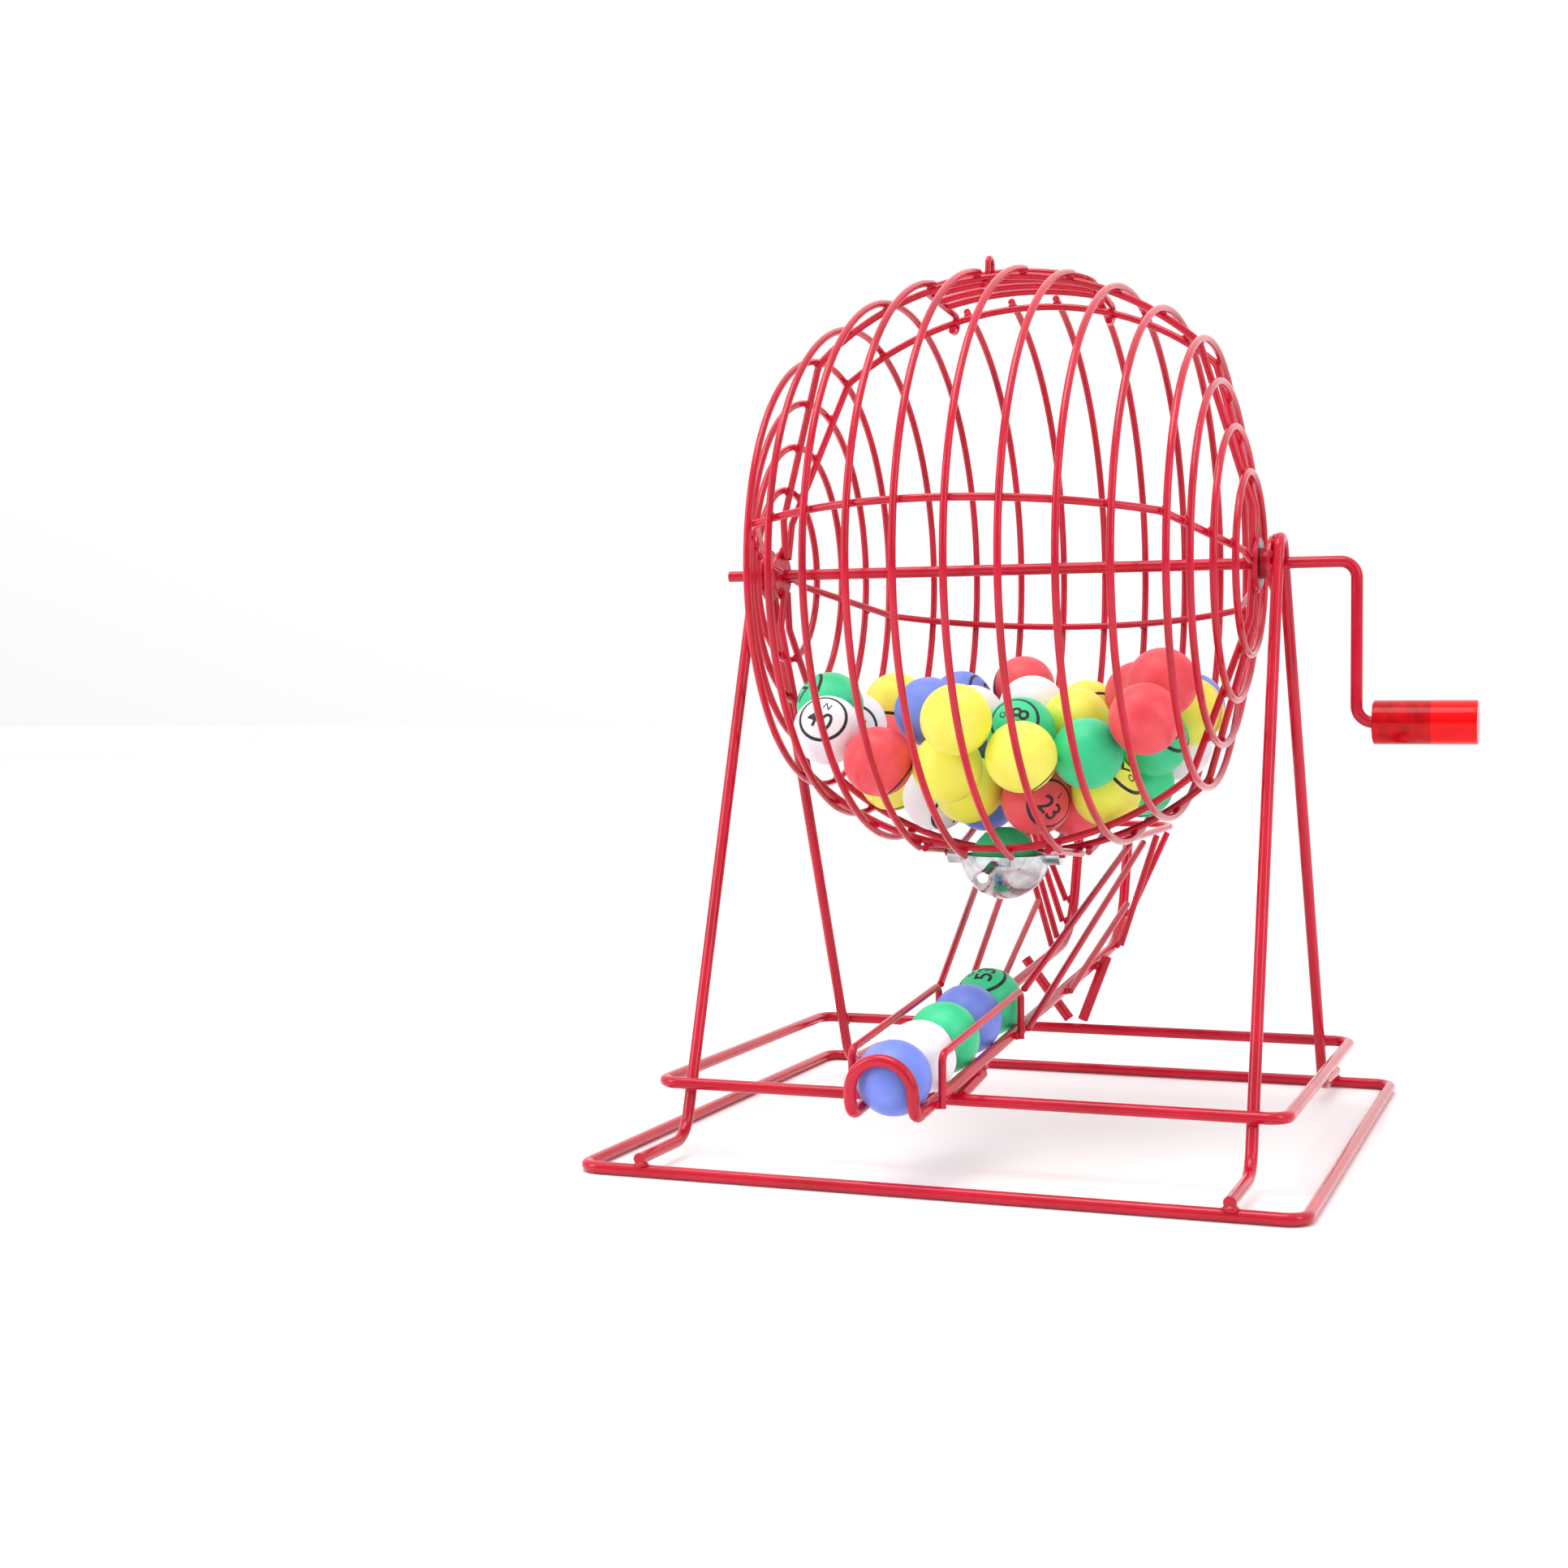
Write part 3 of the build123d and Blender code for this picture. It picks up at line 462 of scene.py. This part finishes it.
# Prints that are set, the others being random: rough place of the ball in mm, its number, the way
# the print faces, its roll in degrees. The last ones face away from the front.
SEEN_PRINTS = [
    ((-19, -177, 73), 7, (0.3, 0.9, -0.3), 0),
    ((-17, -139, 78), 33, (0.6, 0.75, 0.2), 0),
    ((-16, -102, 82), 50, (0.5, 0.8, 0.2), 0),
    ((-14, -64, 87), 12, (0.4, 0.85, 0.3), 0),
    ((-12, -26, 92), 53, (-0.12, -0.41, 0.91), 100),
    ((-92, -62, 224), 40, (0.14, -0.89, 0.46), -25),
    ((-106, -25, 237), 57, (-0.71, -0.53, 0.47), 0),
    ((-61, -71, 208), 29, (0.65, 0.40, -0.64), 0),
    ((16, -32, 181), 23, (0.67, -0.71, -0.08), -45),
    ((-38, -35, 184), 41, (0.74, -0.44, -0.49), 60),
    ((23, -89, 212), 64, (0.52, 0.49, -0.70), 0),
    ((88, -41, 220), 52, (0.75, -0.45, 0.45), 0),
    ((17, -60, 225), 48, (0.0, -0.91, 0.42), 70),
    ((54, -29, 192), 67, (0.71, -0.21, 0.65), 150),
    ((-12, -90, 227), 69, (0.2, 0.9, -0.3), 0),
    ((-16, -75, 198), 71, (-0.5, 0.8, 0.2), 0),
    ((-34, -60, 233), 4, (0.1, 0.9, 0.2), 0),
    ((58, -73, 214), 56, (0.1, 0.9, 0.2), 0),
    ((78, -50, 230), 22, (0.1, 0.9, 0.2), 0),
    ((92, -50, 249), 19, (0.1, 0.9, 0.2), 0),
]


def random_turn():
    return facing([random.gauss(0, 1) for _ in range(3)], random.uniform(0, 360))


def ball_colour(node):
    return "green" if node == "ball_in_cup" else node.split("_")[-1]


def place_prints(centres):
    """Gives each seen print to the nearest ball of its colour: {(node, index): (number, turn)}."""
    given = {}
    for place, number, direction, roll in SEEN_PRINTS:
        colour = next(c for c, (first, _) in NUMBERS.items() if first <= number < first + 15)
        balls = [
            ((Vector(place) * MM - centre).length, node, index)
            for node in centres
            if ball_colour(node) == colour
            for index, centre in enumerate(centres[node])
            if (node, index) not in given
        ]
        _, node, index = min(balls)
        given[node, index] = (number, facing(direction, roll))
    return given


def make_balls():
    """Replaces the ball nodes by seamed balls with a letter and number each."""
    points, faces = seamed_ball()
    nodes = sorted(n for n in NODES if n.startswith(("cage_balls", "track_balls", "ball_in")))
    centres = {node: ball_centres(node) for node in nodes}
    prints = place_prints(centres)
    seen = [number for number, _ in prints.values()]
    left = {}
    for colour, (first, _) in NUMBERS.items():
        left[colour] = [n for n in range(first, first + 15) if n not in ON_THE_BOARD and n not in seen]
        random.shuffle(left[colour])
    for node in nodes:
        colour = ball_colour(node)
        body = "cup" if node == "ball_in_cup" else "stand"
        all_points, all_faces, ink = [], [], Ink()
        for index, centre in enumerate(centres[node]):
            turn = random_turn()
            if (node, index) in prints:
                number, turn = prints[node, index]
            else:
                number = left[colour].pop()
            start = len(all_points)
            tilt = turn @ Matrix.Rotation(math.radians(random.uniform(60, 120)), 3, "X")
            all_points += [centre + tilt @ Vector(p) * BALL_R for p in points]
            all_faces += [tuple(start + i for i in f) for f in faces]
            ink.ring(centre, turn)
            ink.text(centre, turn, str(number), NUMBER_HEIGHT, -NUMBER_LOW)
            ink.text(centre, turn, NUMBERS[colour][1], LETTER_HEIGHT, LETTER_HIGH)
        shell = bpy.data.meshes.new(f"shells_{node}")
        shell.from_pydata(all_points, [], all_faces)
        shell.polygons.foreach_set("use_smooth", [True] * len(shell.polygons))
        piece = new_object(f"shells_{node}", shell, body, BALL_PAINT[colour])
        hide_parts(node)
        marks = bpy.data.meshes.new(f"print_{node}")
        marks.from_pydata(ink.points, [], ink.faces)
        marks.polygons.foreach_set("use_smooth", [True] * len(marks.polygons))
        new_object(f"print_{node}", marks, body, INK)


# ---------------------------------------------------------------- welds
SEARCH = 0.5 * MM  # wires nearer than this touch
SAMPLE_SPACING, MOST_STEPS = 0.9 * MM, 240
BOX_MARGIN = 1.0 * MM
BEAD_APART = 7 * MM  # touching points nearer than this share one bead
TREES = {}


def near_box(point, box, reach):
    return all(box[0][k] - reach < point[k] < box[1][k] + reach for k in range(3))


def surface_samples(mesh, box, spacing):
    """Points on the triangles of mesh that come near a box."""
    points = []
    for polygon in mesh.polygons:
        corners = [mesh.vertices[i].co for i in polygon.vertices]
        span = max((corners[i] - corners[i - 1]).length for i in range(len(corners)))
        if not near_box(polygon.center, box, span + BOX_MARGIN):
            continue
        if span < 2 * spacing:
            points.append(polygon.center)
            continue
        a, b, c = corners[0], corners[1], corners[2]
        steps = min(int(span / spacing) + 1, MOST_STEPS)
        for i in range(steps + 1):
            edge_a, edge_b = a.lerp(b, i / steps), a.lerp(c, i / steps)
            across = int((edge_b - edge_a).length / spacing) + 1
            for j in range(across + 1):
                point = edge_a.lerp(edge_b, j / across)
                if near_box(point, box, BOX_MARGIN):
                    points.append(point)
    return points


def touches(first, second):
    """Places where two nodes touch: (point, direction from first to second)."""
    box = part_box(second)
    tree = TREES.setdefault(second, BVHTree.FromObject(NODES[second], bpy.context.evaluated_depsgraph_get()))
    found = []
    for point in surface_samples(NODES[first].data, box, SAMPLE_SPACING):
        hit, normal, _, distance = tree.find_nearest(point, SEARCH)
        if hit is not None:
            found.append((distance, (point + hit) / 2, -normal))
    found.sort(key=lambda f: f[0])
    places = []
    for _, point, normal in found:
        if all((place - point).length >= BEAD_APART for place, _ in places):
            places.append((point, normal))
    return places


def weld_bead(points, faces, centre, normal, size):
    """Adds one lumpy bead squeezed into the crevice between two wires."""
    ball = bmesh.new()
    bmesh.ops.create_icosphere(ball, subdivisions=2, radius=1.0)
    across = normal.orthogonal().normalized()
    along = normal.cross(across)
    seed = Vector([random.uniform(0, 50) for _ in range(3)])
    start = len(points)
    stretch = (random.uniform(0.95, 1.25), random.uniform(0.95, 1.25), random.uniform(0.5, 0.65))
    ball.verts.index_update()
    for v in ball.verts:
        lump = 1 + 0.22 * noise.noise(v.co * 1.6 + seed)
        x, y, z = (v.co[k] * stretch[k] * size * lump for k in range(3))
        points.append(centre + across * x + along * y + normal * z)
    faces += [tuple(start + v.index for v in f.verts) for f in ball.faces]
    ball.free()


def weld(name, body, pairs, size):
    """One piece with all the beads between pairs of nodes."""
    points, faces = [], []
    for first, second in pairs:
        for place, normal in touches(first, second):
            weld_bead(points, faces, place, normal, size)
    mesh = bpy.data.meshes.new(name)
    mesh.from_pydata(points, [], faces)
    mesh.polygons.foreach_set("use_smooth", [True] * len(faces))
    new_object(name, mesh, body, RED)


def named(*starts):
    return sorted(n for n in NODES if n.startswith(starts))


def make_welds():
    sides = ("left", "right")
    ribs, rings = named("rib_"), named("ring_")
    weld("welds_cage", "drum", [(ring, rib) for ring in rings for rib in ribs], 2.3 * MM)
    weld("welds_hubs", "drum", [(f"hub_{s}", rib) for s in sides for rib in ribs], 2.4 * MM)
    hangers = [(f"cup_hanger_{s}", rib) for s in sides for rib in named("rib_bottom")]
    weld("welds_cup_hangers", "drum", hangers, 2.3 * MM)
    weld("welds_hatch", "hatch", [("hatch_bars", "hatch_frame")], 2.2 * MM)
    loops = ("tier_frame", "base_frame")
    weld("welds_legs", "stand", [(f"leg_{s}", loop) for s in sides for loop in loops], 3.6 * MM)
    weld("welds_bearings", "stand", [(f"bearing_{s}", f"leg_{s}") for s in sides], 2.2 * MM)
    supports = [(n, "tier_frame") for n in named("track_bracket", "rear_support")]
    supports += [(n, "track_rails") for n in named("track_bracket", "rear_support")]
    weld("welds_supports", "stand", supports, 3.2 * MM)
    fine = [(n, "track_rails") for n in named("guard_rail", "chute_wires", "chute_ribs")]
    fine += [(n, "chute_rim") for n in named("chute_wires", "chute_ribs")]
    weld("welds_chute", "stand", fine, 2.4 * MM)


# ---------------------------------------------------------------- stage, lights, camera
def flat_square(name, size, place, rotation):
    mesh = bpy.data.meshes.new(name)
    h = size / 2
    mesh.from_pydata([(-h, -h, 0), (h, -h, 0), (h, h, 0), (-h, h, 0)], [], [(0, 1, 2, 3)])
    piece = bpy.data.objects.new(name, mesh)
    bpy.context.scene.collection.objects.link(piece)
    piece.location, piece.rotation_euler = place, rotation
    return piece


def make_stage():
    floor = flat_square("floor", 30.0, (0, 0, CAD_BOX[0][2] - 0.0002), (0, 0, 0))
    paint = Paint("floor_white")
    clouds = paint.noise(0.6)
    paint.colour(paint.ramp(clouds, (0.3, srgb(0.970, 0.970, 0.975)), (0.7, srgb(0.980, 0.980, 0.982))))
    paint.set(Roughness=0.55, Specular_IOR_Level=0.2)
    floor.data.materials.append(paint.material)


def area_light(name, place, target, size, power, colour=(1, 1, 1)):
    data = bpy.data.lights.new(name, "AREA")
    data.shape = "RECTANGLE"
    data.size, data.size_y = size
    data.energy, data.color = power, colour
    lamp = bpy.data.objects.new(name, data)
    bpy.context.scene.collection.objects.link(lamp)
    lamp.location = place
    lamp.rotation_euler = (Vector(place) - Vector(target)).to_track_quat("Z", "Y").to_euler()


def make_lights():
    world = bpy.data.worlds.new("studio")
    bpy.context.scene.world = world
    world.use_nodes = True
    background = world.node_tree.nodes["Background"]
    sky = world.node_tree.nodes.new("ShaderNodeTexCoord")
    lean = world.node_tree.nodes.new("ShaderNodeVectorMath")
    lean.operation = "DOT_PRODUCT"
    lean.inputs[1].default_value = (0.0, 1.0, 1.5)  # brighter behind the object and overhead
    shade = world.node_tree.nodes.new("ShaderNodeMapRange")
    for key, value in (("From Min", -1.0), ("From Max", 2.0), ("To Min", 0.28), ("To Max", 1.42)):
        shade.inputs[key].default_value = value
    world.node_tree.links.new(sky.outputs["Generated"], lean.inputs[0])
    world.node_tree.links.new(lean.outputs["Value"], shade.inputs["Value"])
    world.node_tree.links.new(shade.outputs["Result"], background.inputs["Strength"])
    background.inputs["Color"].default_value = (1, 1, 1, 1)
    area_light("top_box", (-0.3, -0.5, 1.9), (0, 0, 0.2), (1.4, 0.9), 16)
    area_light("left_box", (-1.7, -1.3, 1.0), (0, 0, 0.25), (0.9, 1.3), 13)
    area_light("right_box", (1.9, -0.9, 1.1), (0, 0, 0.25), (0.7, 1.3), 9)


CAMERA_PLACE = (0.326, -1.238, 0.247)
YAW, PITCH, ROLL = math.radians(20.76), math.radians(-2.31), math.radians(-0.33)
LENS_MM, SENSOR_MM = 51.88, 36.0


def make_camera():
    ahead = Vector((-math.sin(YAW) * math.cos(PITCH), math.cos(YAW) * math.cos(PITCH), math.sin(PITCH)))
    level = Vector((math.cos(YAW), math.sin(YAW), 0))
    upright = level.cross(ahead)
    right = level * math.cos(ROLL) + upright * math.sin(ROLL)
    up = upright * math.cos(ROLL) - level * math.sin(ROLL)
    data = bpy.data.cameras.new("camera")
    data.lens, data.sensor_width = LENS_MM, SENSOR_MM
    camera = bpy.data.objects.new("camera", data)
    bpy.context.scene.collection.objects.link(camera)
    basis = Matrix((right, up, -ahead)).transposed().to_4x4()
    camera.matrix_world = Matrix.Translation(CAMERA_PLACE) @ basis
    bpy.context.scene.camera = camera
    bpy.context.scene.view_settings.view_transform = "Standard"


make_camera()
make_stage()
make_lights()
dress_cad()
make_balls()
make_welds()
